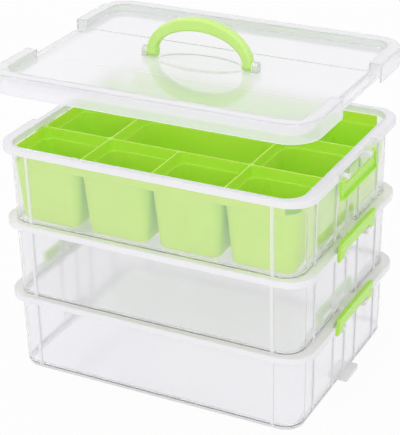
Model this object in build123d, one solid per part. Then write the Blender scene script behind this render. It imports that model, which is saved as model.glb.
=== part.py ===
from build123d import *
import os
from math import radians, tan

# A carrying box made of three equal clear trays that stack, a cup insert, a lid with a
# folding handle, and a pair of hinged end latches on each tray. Millimetres.
# X runs along the long side, Y front (-) to back (+), Z up.
# The origin is at the middle of the bottom tray's base.

# Tray
tray_length = 368.0  # over the rim
tray_width = 272.0  # over the rim
tray_height = 93.0
end_overhang = 12.1  # from the rim's end in to the outside of the wall at the base
side_overhang = 6.7  # the same along the long sides
base_corner = 22.4
wall_draft = 0.8  # degrees that the walls lean outward
wall = 2.2
floor = 3.0
floor_round = 5.0  # inside, where the floor meets the walls
foot_depth = 3.6  # how far the base drops into the tray below
foot_gap = 0.4  # round the foot, inside the opening below

# Rim
rim_corner = 30.6
rim_thickness = 2.0
rim_lip = 7.2  # how far the outer lip hangs below the top
rim_lip_wall = 1.8
rim_round = 1.3
notch_depth = 5.5  # cut in each short end of the rim for the latch
notch_round = 1.5

# Ribs moulded on the walls
rib_depth = 1.2
long_rib_width = 3.6
long_rib_inset = 27.8  # from the end of the base to the rib
end_rib_width = 2.6
end_rib_places = (-0.335, -0.125, 0.0, 0.125, 0.335)  # shares of the base width
rib_start = 0.4  # above the foot

# Catch: the block low on each end that the latch of the tray below hooks
catch_height = 5.2  # its top over the rim below, and the lid's flange too
catch_block_height = 4.8
catch_block_length = 34.0
catch_block_round = 2.0
catch_reach = 0.2  # how far it stays inside the rim's end

# Latch, drawn closed on the right-hand end about its pin
latch_length = 97.0
latch_end_gap = 5.0  # to each end of the rim's notch
latch_plate = 2.2
latch_reach = 3.6  # from the pin out to the outer face at the top
latch_foot = 2.0  # radius of the round end of each leg
latch_leg_length = 11.5
latch_hook_depth = 5.6
latch_hook_thickness = 2.0
latch_hook_gap = 0.8  # between the hook and the catch when closed
latch_hook_taper = 5.0  # how much shorter the hook's inner edge is at each end
latch_cheek = 2.0  # thickness of the web along each end
latch_cheek_depth = 3.6  # of the web under the hook
latch_arch = 2.2  # rise of the lower edge from the legs to the middle
latch_arch_run = 8.0  # length of that slope
latch_arch_round = 3.0
latch_round = 1.0
latch_clear = 1.2  # between the knuckles and the plate's lower edge
pin_inset = 0.6  # from the rim's end in to the pin
pin_drop = 11.6  # from the top of the rim down to the pin
pin_radius = 1.4
pin_length = 6.0
pin_fit = 0.08  # radial clearance of every pin
pin_end_gap = 0.4  # past the end of every pin
knuckle_radius = 3.0
knuckle_length = 9.0
knuckle_gap = 0.4  # between knuckle and leg
latch_open_angle = 170.0  # how the top tray's latches hang

# Lid
lid_gap = 0.4  # between the rim and the lid's skirt
lid_wall = 1.8
lid_border = 14.5  # width of the raised border, walls included
lid_strip_height = 7.7  # of the strip between the notches, over the rim
lid_border_height = 8.5  # over that strip
lid_skirt_drop = 4.6  # below the top of the rim
lid_panel = 2.0
lid_strip_step = 0.6  # the strip lies this much below the rest of the panel
lid_strip_inset = 4.0  # from the notch's end in to the edge of the strip
lid_flange_lip = 1.5  # extra thickness at the edge that the latch hooks
lid_flange_gap = 0.7  # between the flange and the webs of the closed latch
lid_seat_clear = 0.4  # under the walls that don't rest on the rim
lid_top_round = 2.2
lid_lift = 67.0  # how far above the box the lid is held

# Finger scoop under the handle, a boat-shaped hollow
scoop_length = 98.0
scoop_width = 48.0
scoop_depth = 6.0

# Handle
handle_span = 125.0
handle_rise = 44.2  # from the pivot to the top
handle_grip = 14.0  # thickness at the top
handle_leg = 10.8  # thickness at the feet
handle_width = 11.0
handle_round = 2.4
handle_clear = 0.5  # over the panel when it lies flat
lug_gap = 0.4
lug_thickness = 5.8
lug_radius = 5.5
handle_pin_radius = 2.5
handle_pin_length = 4.2

# Cup insert
insert_gap = 2.2  # to the tray's walls at its top
insert_drop = 7.0  # from the top of the rim down to its top
insert_corner = 18.0
insert_fin = 1.8  # thickness of the fins between the cups
insert_fin_height = 12.0
insert_cell_corner = 4.5  # between the fins
insert_plate = 2.0
insert_row_depths = (73.5, 87.0)  # front row and middle row, the back row has the rest
cup_gap = 0.8  # between two cups where they start
cup_wall = 2.0
cup_corner = 16.0
cup_draft = 5.5  # degrees
cup_floor_round = 5.0

over = 1.0  # how far cutting shapes run past what they cut

# Derived places
base_length = tray_length - 2 * end_overhang
base_width = tray_width - 2 * side_overhang
stack_pitch = tray_height - foot_depth
stack_top = tray_height + 2 * stack_pitch
opening_length = base_length + 2 * tray_height * tan(radians(wall_draft)) - 2 * wall
opening_width = base_width + 2 * tray_height * tan(radians(wall_draft)) - 2 * wall
opening_corner = base_corner + tray_height * tan(radians(wall_draft)) - wall
notch_half = latch_length / 2 + latch_end_gap
notch_back = tray_length / 2 - notch_depth
pin_x = tray_length / 2 - pin_inset
catch_end = tray_length / 2 - catch_reach
hook_bottom = pin_drop + catch_height + latch_hook_gap  # above the pin
latch_top = hook_bottom + latch_hook_thickness
knuckle_end = latch_length / 2 - latch_leg_length - knuckle_gap
lid_length = tray_length + 2 * (lid_gap + lid_wall)
lid_width = tray_width + 2 * (lid_gap + lid_wall)
lid_corner = rim_corner + lid_gap + lid_wall
lid_top = lid_strip_height + lid_border_height
handle_axis_height = lid_strip_height + handle_clear + handle_width / 2
insert_length = opening_length - 2 * insert_gap
insert_width = opening_width - 2 * insert_gap


def rounded(length, width, corner):
    return RectangleRounded(length, width, corner)


def prism(sketch, bottom, top):
    """A straight block from one height to another."""
    return extrude(Pos(0, 0, bottom) * sketch, amount=top - bottom)


def box_between(x, y, z):
    """A box given by its lowest and highest value along each axis."""
    size = [high - low for low, high in (x, y, z)]
    middle = [(high + low) / 2 for low, high in (x, y, z)]
    return Pos(*middle) * Box(*size)


def both_ends(piece):
    return piece + mirror(piece, about=Plane.YZ)


def front_and_back(piece):
    return piece + mirror(piece, about=Plane.XZ)


def x_cylinder(radius, x, z):
    """A cylinder along X between two X values."""
    low, high = x
    return Pos((low + high) / 2, 0, z) * Rot(0, 90, 0) * Cylinder(radius, high - low)


def y_cylinder(radius, x, y, z):
    """A cylinder along Y between two Y values."""
    low, high = y
    return Pos(x, (low + high) / 2, z) * Rot(90, 0, 0) * Cylinder(radius, high - low)


def wall_body(grow, bottom, top):
    """The leaning outside of the walls, made larger all round by grow."""
    spread = grow + bottom * tan(radians(wall_draft))
    section = rounded(base_length + 2 * spread, base_width + 2 * spread, base_corner + spread)
    return extrude(Pos(0, 0, bottom) * section, amount=top - bottom, taper=-wall_draft)


def tray_cavity():
    cavity = wall_body(-wall, floor, tray_height + over)
    return fillet(cavity.faces().sort_by(Axis.Z)[0].edges(), floor_round)


def foot_relief():
    """What is cut away round the base so that it drops into the tray below."""
    foot = rounded(
        opening_length - 2 * foot_gap,
        opening_width - 2 * foot_gap,
        opening_corner - foot_gap,
    )
    return prism(rounded(tray_length, tray_width, rim_corner) - foot, 0, foot_depth)


def rim_outline():
    outline = rounded(tray_length, tray_width, rim_corner)
    notch = Rectangle(2 * notch_depth, 2 * notch_half)
    ends = Pos(tray_length / 2, 0) * notch + Pos(-tray_length / 2, 0) * notch
    outline = outline - ends
    corners = outline.vertices().filter_by(
        lambda v: abs(abs(v.Y) - notch_half) < 0.01 and abs(v.X) > notch_back - 1
    )
    return fillet(corners, notch_round)


def tray_rim():
    outline = rim_outline()
    rim = prism(outline, tray_height - rim_thickness, tray_height)
    rim += prism(
        outline - offset(outline, -rim_lip_wall), tray_height - rim_lip, tray_height
    )
    return fillet(rim.faces().sort_by(Axis.Z)[-1].edges(), rim_round)


def wall_ribs():
    """The ribs, one piece each, from above the foot to under the rim."""
    ribbed = wall_body(rib_depth, foot_depth + rib_start, tray_height - rim_thickness)
    slabs = []
    for side in (-1, 1):
        x = side * (base_length / 2 - long_rib_inset)
        slabs.append(Pos(x, 0, tray_height / 2) * Box(long_rib_width, tray_width, tray_height))
    for share in end_rib_places:
        y = share * base_width
        slabs.append(Pos(0, y, tray_height / 2) * Box(tray_length, end_rib_width, tray_height))
    return [ribbed & slab for slab in slabs]


def catch_blocks():
    top = foot_depth + catch_height
    block = box_between(
        (base_length / 2 - wall, catch_end),
        (-catch_block_length / 2, catch_block_length / 2),
        (top - catch_block_height, top),
    )
    block = fillet(block.edges().filter_by(Axis.Z).sort_by(Axis.X)[-2:], catch_block_round)
    return both_ends(block)


def knuckles():
    """Clear knuckles, bored for the stub pins of one latch, at both ends of the tray."""
    z = tray_height - pin_drop
    span = (knuckle_end - knuckle_length, knuckle_end)
    knuckle = y_cylinder(knuckle_radius, pin_x, span, z)
    knuckle += box_between(
        (base_length / 2 - wall, pin_x), span, (z - knuckle_radius, z + knuckle_radius)
    )
    bore_start = knuckle_end + knuckle_gap - pin_length - pin_end_gap
    knuckle -= y_cylinder(pin_radius + pin_fit, pin_x, (bore_start, knuckle_end + over), z)
    return both_ends(front_and_back(knuckle))


def tray():
    body = wall_body(0, 0, tray_height) - foot_relief()
    body += tray_rim()
    for rib in wall_ribs():
        body += rib
    body += catch_blocks()
    body += knuckles()
    return body - tray_cavity()


def latch_profile(depth, inner_foot):
    """The latch seen from its end: a leaning plate of that depth below its hook."""
    outline = Polyline(
        (inner_foot, 0),
        (latch_foot, 0),
        (latch_reach, latch_top),
        (latch_reach - latch_hook_depth, latch_top),
        (latch_reach - latch_hook_depth, hook_bottom),
        (latch_reach - depth, hook_bottom),
        close=True,
    )
    profile = make_face(outline)
    return Plane.XZ * fillet(profile.vertices().group_by(Axis.Y)[-1], latch_round)


def latch_opening():
    """What is cut out between the legs, with a slope up to the middle on each side."""
    leg = latch_length / 2 - latch_leg_length
    low = knuckle_radius + latch_clear
    outline = Polyline(
        (-leg, -over),
        (-leg, low),
        (latch_arch_run - leg, low + latch_arch),
        (leg - latch_arch_run, low + latch_arch),
        (leg, low),
        (leg, -over),
        close=True,
    )
    opening = make_face(outline)
    opening = fillet(opening.vertices().filter_by(lambda v: v.Y > 0), latch_arch_round)
    return extrude(Plane.YZ * opening, amount=tray_height, both=True)


def hook_tapers():
    """The wedges that shorten the hook's inner edge at both ends."""
    half = latch_length / 2
    tip = latch_reach - latch_hook_depth
    wedge = Polyline(
        (tip - over, half - latch_hook_taper),
        (tip, half - latch_hook_taper),
        (latch_reach - latch_cheek_depth, half),
        (latch_reach - latch_cheek_depth, half + over),
        (tip - over, half + over),
        close=True,
    )
    return front_and_back(prism(make_face(wedge), hook_bottom, latch_top + over))


def latch_leg():
    """The round end of one leg, with the stub pin that turns in the knuckle."""
    inner = latch_length / 2 - latch_leg_length
    leg = y_cylinder(latch_foot, 0, (inner, latch_length / 2), 0)
    return leg + y_cylinder(pin_radius, 0, (inner - pin_length, inner + over), 0)


def latch():
    """A latch closed on the right-hand end, with its pin along Y through the origin."""
    half = latch_length / 2
    plate = latch_profile(latch_plate, latch_foot - latch_plate)
    body = extrude(plate, amount=half, both=True) - latch_opening()
    cheek = extrude(latch_profile(latch_cheek_depth, -latch_foot), amount=latch_cheek)
    body += front_and_back(Pos(0, half, 0) * cheek)
    return body - hook_tapers() + front_and_back(latch_leg())


def placed_latch(level, side, angle):
    """A latch on the tray of that level, on the right (1) or left (-1), opened by angle."""
    z = level * stack_pitch + tray_height - pin_drop
    piece = Pos(pin_x, 0, z) * Rot(0, angle, 0) * latch()
    return piece if side > 0 else mirror(piece, about=Plane.YZ)


def lid_outline(inset):
    return rounded(lid_length - 2 * inset, lid_width - 2 * inset, lid_corner - inset)


def across_notches(back, half, low, high):
    """Boxes over the notch at both ends, from back outward."""
    return both_ends(box_between((back, lid_length), (-half, half), (low, high)))


def lid_ring(inset, low, high):
    """A wall of the lid's thickness that follows its outline."""
    return prism(lid_outline(inset) - lid_outline(inset + lid_wall), low, high)


def lid_border_shell():
    """The raised hollow border and skirt, which stop at the notches."""
    inner = lid_border - lid_wall
    back = lid_length / 2 - inner
    border = lid_ring(0, -lid_skirt_drop, lid_top)
    border += prism(lid_outline(0) - lid_outline(lid_border), lid_top - lid_wall, lid_top)
    border = fillet(border.faces().sort_by(Axis.Z)[-1].outer_wire().edges(), lid_top_round)
    border += lid_ring(inner, 0, lid_top)
    border -= across_notches(back, notch_half, -lid_skirt_drop - over, lid_top + over)
    border -= across_notches(back - lid_wall - over, notch_half, lid_strip_height, lid_top + over)
    end_wall = box_between(
        (back - lid_wall / 2, lid_length / 2 - lid_wall / 2),
        (notch_half, notch_half + lid_wall),
        (lid_seat_clear, lid_top - lid_wall / 2),
    )
    return border + both_ends(front_and_back(end_wall))


def lid_panel_plate():
    """The flat middle, with a lower strip that runs out to the notches."""
    outside = lid_strip_height + lid_strip_step
    panel = prism(lid_outline(lid_border - lid_wall / 2), lid_strip_height - lid_panel, outside)
    strip_half = notch_half - lid_strip_inset
    panel -= across_notches(-over, strip_half, lid_strip_height, outside + over)
    at_notch = lid_length / 2 - lid_border - over
    end_half = notch_half + lid_wall / 2
    return panel - across_notches(at_notch, end_half, lid_strip_height, outside + over)


def lid_flanges():
    """The edges in the notches that the top tray's latches hook."""
    back = lid_length / 2 - lid_border
    half = latch_length / 2 - latch_cheek - lid_flange_gap
    low = catch_height - lid_panel
    flange = box_between((back, catch_end), (-half, half), (low, catch_height))
    lip = box_between(
        (catch_end - lid_wall, catch_end), (-half, half), (low - lid_flange_lip, catch_height)
    )
    return both_ends(flange + lip)


def scoop_barrel(grow):
    """A barrel along X whose lowest part is the boat shape of the finger scoop."""
    axis_height = (scoop_width**2 / 4 - scoop_depth**2) / (2 * scoop_depth)
    half = scoop_length / 2
    end_radius = axis_height + grow
    start, end = (-half, 0, end_radius), (half, 0, end_radius)
    arc = ThreePointArc(start, (0, 0, end_radius + scoop_depth), end)
    sides = Polyline(start, (-half, 0, 0), (half, 0, 0), end)
    barrel = revolve(make_face(arc + sides), Axis.X)
    return Pos(0, 0, lid_strip_height + axis_height) * barrel


def finger_scoop():
    """The shell of the scoop below the panel."""
    below = box_between(
        (-scoop_length, scoop_length),
        (-scoop_width, scoop_width),
        (lid_strip_height - scoop_depth - lid_panel - over, lid_strip_height - lid_panel / 2),
    )
    return scoop_barrel(lid_panel) & below


def handle_lugs():
    """The two lugs outside the handle's feet, bored for its pins."""
    inner = handle_span / 2 + lug_gap
    low = lid_strip_height - lid_panel / 2
    axis = handle_axis_height
    outline = ThreePointArc((-lug_radius, axis), (0, axis + lug_radius), (lug_radius, axis))
    outline += Polyline((lug_radius, axis), (lug_radius, low), (-lug_radius, low), (-lug_radius, axis))
    lug = Pos(inner, 0, 0) * extrude(Plane.YZ * make_face(outline), amount=lug_thickness)
    bore_end = handle_span / 2 + handle_pin_length + pin_end_gap
    bore = x_cylinder(handle_pin_radius + pin_fit, (inner - over, bore_end), axis)
    return both_ends(lug - bore)


def lid():
    """The lid, with the top of the tray's rim at Z 0."""
    body = lid_border_shell() + lid_panel_plate() + lid_flanges() + finger_scoop()
    return body - scoop_barrel(0) + handle_lugs()


def handle():
    """The upright handle, with its pivot along X through the origin."""
    outer_half = handle_span / 2
    inner_half = outer_half - handle_leg
    arch = Ellipse(outer_half, handle_rise) - Ellipse(inner_half, handle_rise - handle_grip)
    arch &= Pos(0, handle_rise) * Rectangle(handle_span, 2 * handle_rise)
    arch = extrude(Plane.XZ * arch, amount=handle_width / 2, both=True)
    long_edges = arch.edges().filter_by(
        lambda e: abs(abs(e.center().Y) - handle_width / 2) < 0.01 and e.length > handle_span / 2
    )
    arch = fillet(long_edges, handle_round)
    foot = x_cylinder(handle_width / 2, (inner_half, outer_half), 0)
    foot += x_cylinder(handle_pin_radius, (outer_half, outer_half + handle_pin_length), 0)
    return arch + both_ends(foot)


def insert_cells():
    """Each cell's lowest and highest X and Y: four in front, then three, then three."""
    xs = [insert_length * share / 4 - insert_length / 2 for share in range(5)]
    front = -insert_width / 2
    ys = [front, front + insert_row_depths[0], front + sum(insert_row_depths), -front]
    cells = [(xs[i], xs[i + 1], ys[0], ys[1]) for i in range(4)]
    for row in (1, 2):
        for left, right in ((0, 1), (1, 3), (3, 4)):
            cells.append((xs[left], xs[right], ys[row], ys[row + 1]))
    return cells


def cell_section(cell, inset, corner):
    x0, x1, y0, y1 = cell
    section = rounded(x1 - x0 - 2 * inset, y1 - y0 - 2 * inset, corner)
    return Pos((x0 + x1) / 2, (y0 + y1) / 2) * section


def cup(cell, inset, corner, ledge, bottom, roundness):
    """A tapered cup body that hangs from the ledge."""
    section = Pos(0, 0, ledge) * cell_section(cell, inset, corner)
    body = extrude(section, amount=bottom - ledge, taper=cup_draft)
    return fillet(body.faces().sort_by(Axis.Z)[0].edges(), roundness)


def cup_insert():
    """The insert, with the tray's floor at Z 0."""
    top = tray_height - insert_drop - floor
    ledge = top - insert_fin_height
    body = prism(rounded(insert_length, insert_width, insert_corner), ledge - insert_plate, top)
    cells = insert_cells()
    for cell in cells:
        body -= prism(cell_section(cell, insert_fin / 2, insert_cell_corner), ledge, top + over)
    for cell in cells:
        body += cup(cell, cup_gap / 2, cup_corner, ledge, 0, cup_floor_round)
    for cell in cells:
        inset = cup_gap / 2 + cup_wall
        body -= cup(cell, inset, cup_corner - cup_wall, ledge, cup_wall, cup_floor_round - cup_wall)
    return body


def write(name, solid):
    export_step(solid, f"parts/{name}.step")


os.makedirs("parts", exist_ok=True)
one_tray = tray()
for level, name in enumerate(("bottom", "middle", "top")):
    write(f"{name}_tray", Pos(0, 0, level * stack_pitch) * one_tray)
    angle = latch_open_angle if name == "top" else 0
    write(f"{name}_latch_right", placed_latch(level, 1, angle))
    write(f"{name}_latch_left", placed_latch(level, -1, angle))
write("lid", Pos(0, 0, stack_top + lid_lift) * lid())
write("handle", Pos(0, 0, stack_top + lid_lift + handle_axis_height) * handle())
write("cup_insert", Pos(0, 0, 2 * stack_pitch + floor) * cup_insert())
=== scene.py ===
import math

import bpy
from mathutils import Matrix, Vector

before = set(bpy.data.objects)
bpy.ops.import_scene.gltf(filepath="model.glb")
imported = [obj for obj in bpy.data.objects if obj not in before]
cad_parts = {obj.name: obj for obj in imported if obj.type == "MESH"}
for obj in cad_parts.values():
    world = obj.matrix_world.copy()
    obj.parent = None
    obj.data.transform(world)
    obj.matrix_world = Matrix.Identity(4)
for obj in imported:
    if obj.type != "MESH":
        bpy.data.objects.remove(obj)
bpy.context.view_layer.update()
print("frame loaded:", len(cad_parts), "pieces")

scene = bpy.context.scene
scene.view_settings.view_transform = "Standard"
scene.cycles.transparent_max_bounces = 24  # light crosses many clear walls


def feed(tree, value, socket):  # value is a plain one or another node's output
    if isinstance(value, bpy.types.NodeSocket):
        tree.links.new(value, socket)
    else:
        socket.default_value = value


def addMath(tree, operation, *values):
    node = tree.nodes.new("ShaderNodeMath")
    node.operation = operation
    for i, value in enumerate(values):
        feed(tree, value, node.inputs[i])
    return node.outputs[0]


def addLargest(tree, *values):
    largest = values[0]
    for value in values[1:]:
        largest = addMath(tree, "MAXIMUM", largest, value)
    return largest


def addRange(tree, value, start, end):  # 0 at start and 1 at end, with a soft course between
    node = tree.nodes.new("ShaderNodeMapRange")
    node.interpolation_type = "SMOOTHSTEP"
    tree.links.new(value, node.inputs["Value"])
    node.inputs["From Min"].default_value = start
    node.inputs["From Max"].default_value = end
    return node.outputs["Result"]


def addPlace(tree):
    return tree.nodes.new("ShaderNodeTexCoord").outputs["Object"]


def addNoise(tree, place, scale, detail, roughness=0.5):
    node = tree.nodes.new("ShaderNodeTexNoise")
    tree.links.new(place, node.inputs["Vector"])
    feed(tree, scale, node.inputs["Scale"])
    node.inputs["Detail"].default_value = detail
    node.inputs["Roughness"].default_value = roughness
    return node.outputs["Fac"]


def addRounding(tree, radius):  # the surface's normal, with the corners rounded
    node = tree.nodes.new("ShaderNodeBevel")
    node.samples = 6
    feed(tree, radius, node.inputs["Radius"])
    return node.outputs["Normal"]


def addSeenRay(tree):  # 1 where the camera sees the surface, also in a mirror or through clear plastic
    path = tree.nodes.new("ShaderNodeLightPath")
    rays = ("Is Camera Ray", "Is Glossy Ray", "Is Transmission Ray")
    return addLargest(tree, *(path.outputs[ray] for ray in rays))


def mixColours(tree, share, first, second):
    node = tree.nodes.new("ShaderNodeMix")
    node.data_type = "RGBA"
    tree.links.new(share, node.inputs["Factor"])
    feed(tree, first, node.inputs[6])  # the two colour sockets
    feed(tree, second, node.inputs[7])
    return node.outputs[2]


def mixShaders(tree, share, first, second):
    node = tree.nodes.new("ShaderNodeMixShader")
    tree.links.new(share, node.inputs["Fac"])
    tree.links.new(first, node.inputs[1])
    tree.links.new(second, node.inputs[2])
    return node.outputs[0]


# Camera: where the photograph was taken from, in metres and degrees
cameraSpot = {
    "target": (-0.074563, 0.135128, 0.086962),
    "azimuth": 27.489,
    "elevation": 26.088,
    "roll": -1.228,
    "distance": 1.87806,
    "imageWidth": 400,
    "focalPixels": 1518.02,  # in an image of that width
}


def makeCamera(spot):
    azimuth, elevation, roll = (math.radians(spot[k]) for k in ("azimuth", "elevation", "roll"))
    back = Vector((
        math.sin(azimuth) * math.cos(elevation),
        -math.cos(azimuth) * math.cos(elevation),
        math.sin(elevation),
    ))
    level = (-back).cross(Vector((0, 0, 1))).normalized()
    upright = level.cross(-back)
    right = math.cos(roll) * level + math.sin(roll) * upright
    up = math.cos(roll) * upright - math.sin(roll) * level
    data = bpy.data.cameras.new("camera")
    data.sensor_fit = "HORIZONTAL"
    data.lens = spot["focalPixels"] / spot["imageWidth"] * data.sensor_width
    camera = bpy.data.objects.new("camera", data)
    scene.collection.objects.link(camera)
    place = Vector(spot["target"]) + back * spot["distance"]
    axes = Matrix((right, up, back)).transposed().to_4x4()
    camera.matrix_world = Matrix.Translation(place) @ axes
    scene.camera = camera


makeCamera(cameraSpot)
print("camera set")

# Studio: an even white room, large soft lamps in front and above, and a pale floor
studio = {
    "roomStrength": 0.77,  # as it lights the box
    "roomSeen": 1.0,  # as the camera sees it
    "lamps": (
        {"name": "frontLamp", "place": (1.0, -2.2, 1.5), "size": 1.8, "power": 10},
        {"name": "topLamp", "place": (-0.4, -0.9, 2.6), "size": 1.8, "power": 7},
    ),
    "lampAim": (0, 0, 0.2),
    "floorColour": (0.95, 0.95, 0.955, 1),
    "floorRoughness": 0.8,
    "floorGlow": 0.93,  # share of the floor that shows plain white
    "floorSize": 12.0,
    "floorDrop": 0.0005,  # below the lowest tray's foot
}


def makeRoom(spec):
    world = bpy.data.worlds.new("studioRoom")
    scene.world = world
    world.use_nodes = True
    tree = world.node_tree
    tree.nodes.clear()
    strength = tree.nodes.new("ShaderNodeMapRange")
    strength.inputs["To Min"].default_value = spec["roomStrength"]
    strength.inputs["To Max"].default_value = spec["roomSeen"]
    tree.links.new(addSeenRay(tree), strength.inputs["Value"])
    light = tree.nodes.new("ShaderNodeBackground")
    light.inputs["Color"].default_value = (1, 1, 1, 1)
    tree.links.new(strength.outputs["Result"], light.inputs["Strength"])
    out = tree.nodes.new("ShaderNodeOutputWorld")
    tree.links.new(light.outputs[0], out.inputs["Surface"])


def makeLamp(lamp, aim):
    data = bpy.data.lights.new(lamp["name"], "AREA")
    data.shape = "SQUARE"
    data.size = lamp["size"]
    data.energy = lamp["power"]
    piece = bpy.data.objects.new(lamp["name"], data)
    piece.location = lamp["place"]
    piece.rotation_mode = "QUATERNION"
    piece.rotation_quaternion = (Vector(aim) - Vector(lamp["place"])).to_track_quat("-Z", "Y")
    scene.collection.objects.link(piece)


def makePaleFloor(spec):
    material = bpy.data.materials.new("paleFloor")
    material.use_nodes = True
    tree = material.node_tree
    shader = tree.nodes["Principled BSDF"]
    shader.inputs["Base Color"].default_value = spec["floorColour"]
    shader.inputs["Roughness"].default_value = spec["floorRoughness"]
    shine = tree.nodes.new("ShaderNodeEmission")
    share = addMath(tree, "MULTIPLY", addSeenRay(tree), spec["floorGlow"])
    surface = mixShaders(tree, share, shader.outputs["BSDF"], shine.outputs[0])
    tree.links.new(surface, tree.nodes["Material Output"].inputs["Surface"])
    return material


def makeFloor(spec):
    half = spec["floorSize"] / 2
    corners = [(-half, -half, 0), (half, -half, 0), (half, half, 0), (-half, half, 0)]
    mesh = bpy.data.meshes.new("studioFloor")
    mesh.from_pydata(corners, [], [(0, 1, 2, 3)])
    mesh.materials.append(makePaleFloor(spec))
    floor = bpy.data.objects.new("studioFloor", mesh)
    floor.location.z = -spec["floorDrop"]
    scene.collection.objects.link(floor)


makeRoom(studio)
for studioLamp in studio["lamps"]:
    makeLamp(studioLamp, studio["lampAim"])
makeFloor(studio)
print("studio set")


def newGroup(name, inputs, outputs):
    tree = bpy.data.node_groups.new(name, "ShaderNodeTree")
    for socketName, value in inputs.items():
        socket = tree.interface.new_socket(socketName, in_out="INPUT", socket_type="NodeSocketFloat")
        socket.default_value = value
    for socketName in outputs:
        tree.interface.new_socket(socketName, in_out="OUTPUT", socket_type="NodeSocketFloat")
    return tree, tree.nodes.new("NodeGroupInput"), tree.nodes.new("NodeGroupOutput")


def placeGroup(tree, group, values):
    node = tree.nodes.new("ShaderNodeGroup")
    node.node_tree = group
    for socketName, value in values.items():
        node.inputs[socketName].default_value = value
    return node.outputs


grainPattern = {
    "inputs": {"Cloud Scale": 9.0, "Grain Scale": 900.0},
    "cloudDetail": 3.0,
    "cloudRange": (0.3, 0.7),
    "grainDetail": 2.0,
}


def makeMouldGrain(spec):  # slow clouding and a fine pebble left by the mould
    tree, given, out = newGroup("mouldGrain", spec["inputs"], ("Clouds", "Grain"))
    place = addPlace(tree)
    clouds = addNoise(tree, place, given.outputs["Cloud Scale"], spec["cloudDetail"])
    tree.links.new(addRange(tree, clouds, *spec["cloudRange"]), out.inputs["Clouds"])
    grain = addNoise(tree, place, given.outputs["Grain Scale"], spec["grainDetail"])
    tree.links.new(grain, out.inputs["Grain"])
    return tree


# the edge mask marks worn edges and also where a painted highlight makes the edges paler
wearAndHighlightPattern = {
    "inputs": {"Width": 0.001, "Breakup": 0.5},
    "cornerRange": (0.995, 0.86),  # cosine of the turn, from flat to a sharp corner
    "patchScale": 140.0,
    "patchDetail": 4.0,
    "patchRoughness": 0.65,
    "patchRange": (0.38, 0.62),
}


def addWearAndHighlight(tree, spec, width, breakup):  # 1 along sharp outer and inner corners, broken up by noise: worn edges together with a painted edge highlight
    turn = tree.nodes.new("ShaderNodeVectorMath")
    turn.operation = "DOT_PRODUCT"
    tree.links.new(addRounding(tree, width), turn.inputs[0])
    tree.links.new(tree.nodes.new("ShaderNodeNewGeometry").outputs["Normal"], turn.inputs[1])
    corner = addRange(tree, turn.outputs["Value"], *spec["cornerRange"])
    noise = addNoise(
        tree, addPlace(tree), spec["patchScale"], spec["patchDetail"], spec["patchRoughness"])
    lost = addMath(tree, "MULTIPLY", addRange(tree, noise, *spec["patchRange"]), breakup)
    return addMath(tree, "MULTIPLY", corner, addMath(tree, "SUBTRACT", 1.0, lost))


def makeEdgeWearAndHighlight(spec):
    tree, given, out = newGroup("edgeWearAndHighlight", spec["inputs"], ("WearAndHighlight",))
    wearAndHighlight = addWearAndHighlight(tree, spec, given.outputs["Width"], given.outputs["Breakup"])
    tree.links.new(wearAndHighlight, out.inputs["WearAndHighlight"])
    return tree


scratchPattern = {
    "inputs": {"Density": 60.0, "Amount": 0.5},
    "directions": (
        {"turn": (0.5, 0.3, 0.5), "stretch": (1.0, 14.0, 9.0)},
        {"turn": (-0.9, 0.3, -0.9), "stretch": (16.0, 1.0, 7.0)},
    ),
    "detail": 1.5,
    "middle": 0.5,  # the noise's value along a scratch
    "width": 0.012,  # how far from that value the scratch ends
}


def makeHairlines(spec):  # thin scratches in two directions, from handling
    tree, given, out = newGroup("hairlines", spec["inputs"], ("Scratches",))
    place = addPlace(tree)
    lines = []
    for direction in spec["directions"]:
        mapping = tree.nodes.new("ShaderNodeMapping")
        mapping.inputs["Rotation"].default_value = direction["turn"]
        mapping.inputs["Scale"].default_value = direction["stretch"]
        tree.links.new(place, mapping.inputs["Vector"])
        streak = addNoise(tree, mapping.outputs["Vector"], given.outputs["Density"], spec["detail"])
        away = addMath(tree, "ABSOLUTE", addMath(tree, "SUBTRACT", streak, spec["middle"]))
        lines.append(addRange(tree, away, spec["width"], 0.0))
    scratches = addMath(tree, "MULTIPLY", addLargest(tree, *lines), given.outputs["Amount"])
    tree.links.new(scratches, out.inputs["Scratches"])
    return tree


mouldGrain = makeMouldGrain(grainPattern)
edgeWearAndHighlight = makeEdgeWearAndHighlight(wearAndHighlightPattern)
hairlines = makeHairlines(scratchPattern)
print("effects made")


def newPlastic(spec):  # clouded colour, rougher worn edges whose paler colour is partly wear and partly a painted highlight, scratches and a moulded grain
    material = bpy.data.materials.new(spec["name"])
    material.use_nodes = True
    tree = material.node_tree
    shader = tree.nodes["Principled BSDF"]
    shader.inputs["IOR"].default_value = spec["ior"]
    grain = placeGroup(tree, mouldGrain, {
        "Cloud Scale": spec["cloudScale"], "Grain Scale": spec["grainScale"]})
    wearAndHighlight = placeGroup(tree, edgeWearAndHighlight, {"Width": spec["edgeWidth"], "Breakup": spec["breakup"]})
    lines = placeGroup(tree, hairlines, {
        "Density": spec["scratchDensity"], "Amount": spec["scratchAmount"]})
    colour = mixColours(tree, grain["Clouds"], spec["colour"], spec["cloudColour"])
    # paler edges: partly worn plastic, partly a painted highlight of the light on the edges
    colour = mixColours(tree, wearAndHighlight["WearAndHighlight"], colour, spec["edgeColour"])
    tree.links.new(colour, shader.inputs["Base Color"])
    rough = addMath(tree, "MULTIPLY_ADD", grain["Clouds"], spec["cloudRoughness"], spec["roughness"])
    for mask in (wearAndHighlight["WearAndHighlight"], lines["Scratches"]):
        rough = addMath(tree, "MULTIPLY_ADD", mask, spec["wearRoughness"], rough)
    tree.links.new(rough, shader.inputs["Roughness"])
    bump = tree.nodes.new("ShaderNodeBump")
    bump.inputs["Strength"].default_value = spec["bumpStrength"]
    bump.inputs["Distance"].default_value = spec["bumpDepth"]
    tree.links.new(grain["Grain"], bump.inputs["Height"])
    tree.links.new(addRounding(tree, spec["edgeRadius"]), bump.inputs["Normal"])
    tree.links.new(bump.outputs["Normal"], shader.inputs["Normal"])
    return material, shader


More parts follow.
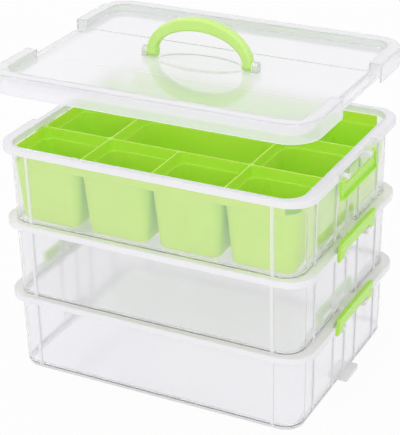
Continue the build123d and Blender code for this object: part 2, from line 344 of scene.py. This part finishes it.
# Clear moulded plastic: part glass-like, part milky, and milkier where it is thick
trayPlastic = {
    "name": "clearTrayPlastic",
    "colour": (0.968, 0.962, 0.99, 1),
    "cloudColour": (0.985, 0.98, 1.0, 1),
    # white edges: partly whitened wear, partly a painted highlight along the edges
    "edgeColour": (1.0, 1.0, 1.0, 1),
    "milkColour": (0.94, 0.925, 0.965, 1),
    "milk": 0.0,
    # milky white along the edges: partly whitened plastic, partly painted highlights where light
    # refracts at the edges and ribs
    "edgeMilkAndHighlight": 0.75,
    "thickMilk": 0.62,  # of the rims, ribs and knuckles
    "transmission": 0.9,
    "roughness": 0.045,
    "cloudRoughness": 0.035,
    "wearRoughness": 0.18,
    "ior": 1.4,
    "gloss": 0.4,
    "cloudScale": 11.0,
    "grainScale": 700.0,
    "scratchDensity": 26.0,
    "scratchAmount": 0.6,
    "edgeWidth": 0.0016,
    "breakup": 0.12,  # share of the edge wear and painted edge highlight that is lost in patches
    "edgeRadius": 0.0009,
    "bumpStrength": 0.2,
    "bumpDepth": 0.0002,
    "lampColour": (0.972, 0.96, 0.985, 1),  # what light passes at each face
    "thick": {
        "rimStart": 0.918,  # share of the tray's height where the rim's lip starts
        "footEnd": 0.036,  # and where the foot ends
        "heightSoft": 0.004,
        "wallInset": (0.0142, 0.0064),  # from the tray's ends and sides in to its walls, at the base
        "lean": 0.0013,  # how much farther out the walls are at the top
        "wallSoft": 0.0005,
        "footWidth": (0.0092, 0.0091),  # inside this strip the floor stays clear
        "footSoft": 0.002,
    },
}
lidPlastic = dict(
    trayPlastic,
    name="clearLidPlastic",
    milk=0.22,
    thickMilk=0.3,
    transmission=0.85,
    roughness=0.012,
    cloudRoughness=0.015,
    gloss=0.9,
    thick={"borderWidth": 0.0155, "borderSoft": 0.002},
)


def findReach(piece):  # how far a piece reaches from the middle, along X and along Y
    corners = [corner.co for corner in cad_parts[piece].data.vertices]
    return max(corner.x for corner in corners), max(corner.y for corner in corners)


def addDistances(tree):  # how far a point lies from the middle along X and along Y
    split = tree.nodes.new("ShaderNodeSeparateXYZ")
    tree.links.new(addPlace(tree), split.inputs[0])
    return addMath(tree, "ABSOLUTE", split.outputs[0]), addMath(tree, "ABSOLUTE", split.outputs[1])


def addTrayThickness(tree, spec, reach):  # 1 on the rim, the foot and what stands out from the walls
    split = tree.nodes.new("ShaderNodeSeparateXYZ")
    tree.links.new(tree.nodes.new("ShaderNodeTexCoord").outputs["Generated"], split.inputs[0])
    height = split.outputs[2]  # as a share of the tray's height
    lean = addMath(tree, "MULTIPLY", height, spec["lean"])
    masks = [addRange(tree, height, spec["rimStart"], spec["rimStart"] + spec["heightSoft"])]
    footEdges = []
    for i, distance in enumerate(addDistances(tree)):
        wall = reach[i] - spec["wallInset"][i]
        upright = addMath(tree, "SUBTRACT", distance, lean)
        masks.append(addRange(tree, upright, wall, wall + spec["wallSoft"]))
        foot = wall - spec["footWidth"][i]
        footEdges.append(addRange(tree, distance, foot, foot + spec["footSoft"]))
    low = addRange(tree, height, spec["footEnd"], spec["footEnd"] - spec["heightSoft"])
    masks.append(addMath(tree, "MULTIPLY", low, addLargest(tree, *footEdges)))
    return addLargest(tree, *masks)


def addLidThickness(tree, spec, reach):  # 1 on the border
    masks = []
    for i, distance in enumerate(addDistances(tree)):
        start = reach[i] - spec["borderWidth"]
        masks.append(addRange(tree, distance, start, start + spec["borderSoft"]))
    return addLargest(tree, *masks)


def makeClearPlastic(spec, addThickness, piece):
    material, shader = newPlastic(spec)
    tree = material.node_tree
    shader.inputs["Transmission Weight"].default_value = spec["transmission"]
    shader.inputs["Coat Weight"].default_value = spec["gloss"]
    milk = tree.nodes.new("ShaderNodeBsdfPrincipled")
    milk.inputs["Base Color"].default_value = spec["milkColour"]
    milk.inputs["Roughness"].default_value = spec["wearRoughness"]
    thickness = addThickness(tree, spec["thick"], findReach(piece))
    thick = addMath(tree, "MULTIPLY", thickness, spec["thickMilk"])
    wearAndHighlight = addWearAndHighlight(tree, wearAndHighlightPattern, spec["edgeWidth"], spec["breakup"])
    # milky edges: partly whitened plastic, partly painted refraction highlights
    edges = addMath(tree, "MULTIPLY", wearAndHighlight, spec["edgeMilkAndHighlight"])
    share = addLargest(tree, spec["milk"], thick, edges)
    surface = mixShaders(tree, share, shader.outputs["BSDF"], milk.outputs["BSDF"])
    through = tree.nodes.new("ShaderNodeBsdfTransparent")
    through.inputs["Color"].default_value = spec["lampColour"]
    path = tree.nodes.new("ShaderNodeLightPath")
    for ray in ("Is Diffuse Ray", "Is Shadow Ray"):
        surface = mixShaders(tree, path.outputs[ray], surface, through.outputs["BSDF"])
    tree.links.new(surface, tree.nodes["Material Output"].inputs["Surface"])
    return material


# Green moulded plastic, deepest in the insert and palest in the handle, where the paler green is a
# painted sheen of the light on it
insertPlastic = {
    "name": "greenInsertPlastic",
    "colour": (0.57, 0.94, 0.07, 1),
    "cloudColour": (0.6, 0.955, 0.085, 1),
    # paler edges: partly wear, partly a painted glow of light through the thin edges
    "edgeColour": (0.62, 0.93, 0.2, 1),
    "roughness": 0.27,
    "cloudRoughness": 0.07,
    "wearRoughness": 0.2,
    "ior": 1.49,
    "glow": 0.35,  # share of light that soaks into the plastic
    "glowDepth": 0.004,
    "glowReach": (0.7, 1.0, 0.3),  # of red, green and blue light
    "cloudScale": 16.0,
    "grainScale": 900.0,
    "scratchDensity": 34.0,
    "scratchAmount": 0.5,
    "edgeWidth": 0.0009,
    "breakup": 0.7,
    "edgeRadius": 0.0007,
    "bumpStrength": 0.3,
    "bumpDepth": 0.0002,
}
handleSheenPlastic = dict(
    insertPlastic,
    name="greenHandleSheenPlastic",
    # paler green than the latches: a painted sheen of the light the handle catches; its paler edges
    # are partly wear, partly a painted highlight
    colour=(0.66, 0.97, 0.26, 1),
    cloudColour=(0.68, 0.975, 0.3, 1),
    edgeColour=(0.72, 0.96, 0.38, 1),
    roughness=0.22,
)
latchPlastic = dict(
    handleSheenPlastic,
    name="greenLatchPlastic",
    colour=(0.5, 0.88, 0.1, 1),
    cloudColour=(0.53, 0.9, 0.13, 1),
    # paler edges: partly wear, partly a painted highlight
    edgeColour=(0.6, 0.92, 0.25, 1),
)


def makeGreenPlastic(spec):
    material, shader = newPlastic(spec)
    shader.inputs["Subsurface Weight"].default_value = spec["glow"]
    shader.inputs["Subsurface Scale"].default_value = spec["glowDepth"]
    shader.inputs["Subsurface Radius"].default_value = spec["glowReach"]
    return material


finishes = {
    "tray": makeClearPlastic(trayPlastic, addTrayThickness, "bottom_tray"),
    "lid": makeClearPlastic(lidPlastic, addLidThickness, "lid"),
    "insert": makeGreenPlastic(insertPlastic),
    "handle": makeGreenPlastic(handleSheenPlastic),
    "latch": makeGreenPlastic(latchPlastic),
}
for name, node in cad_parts.items():
    kind = next(word for word in finishes if word in name)
    node.data.materials.clear()
    node.data.materials.append(finishes[kind])
print("materials given")
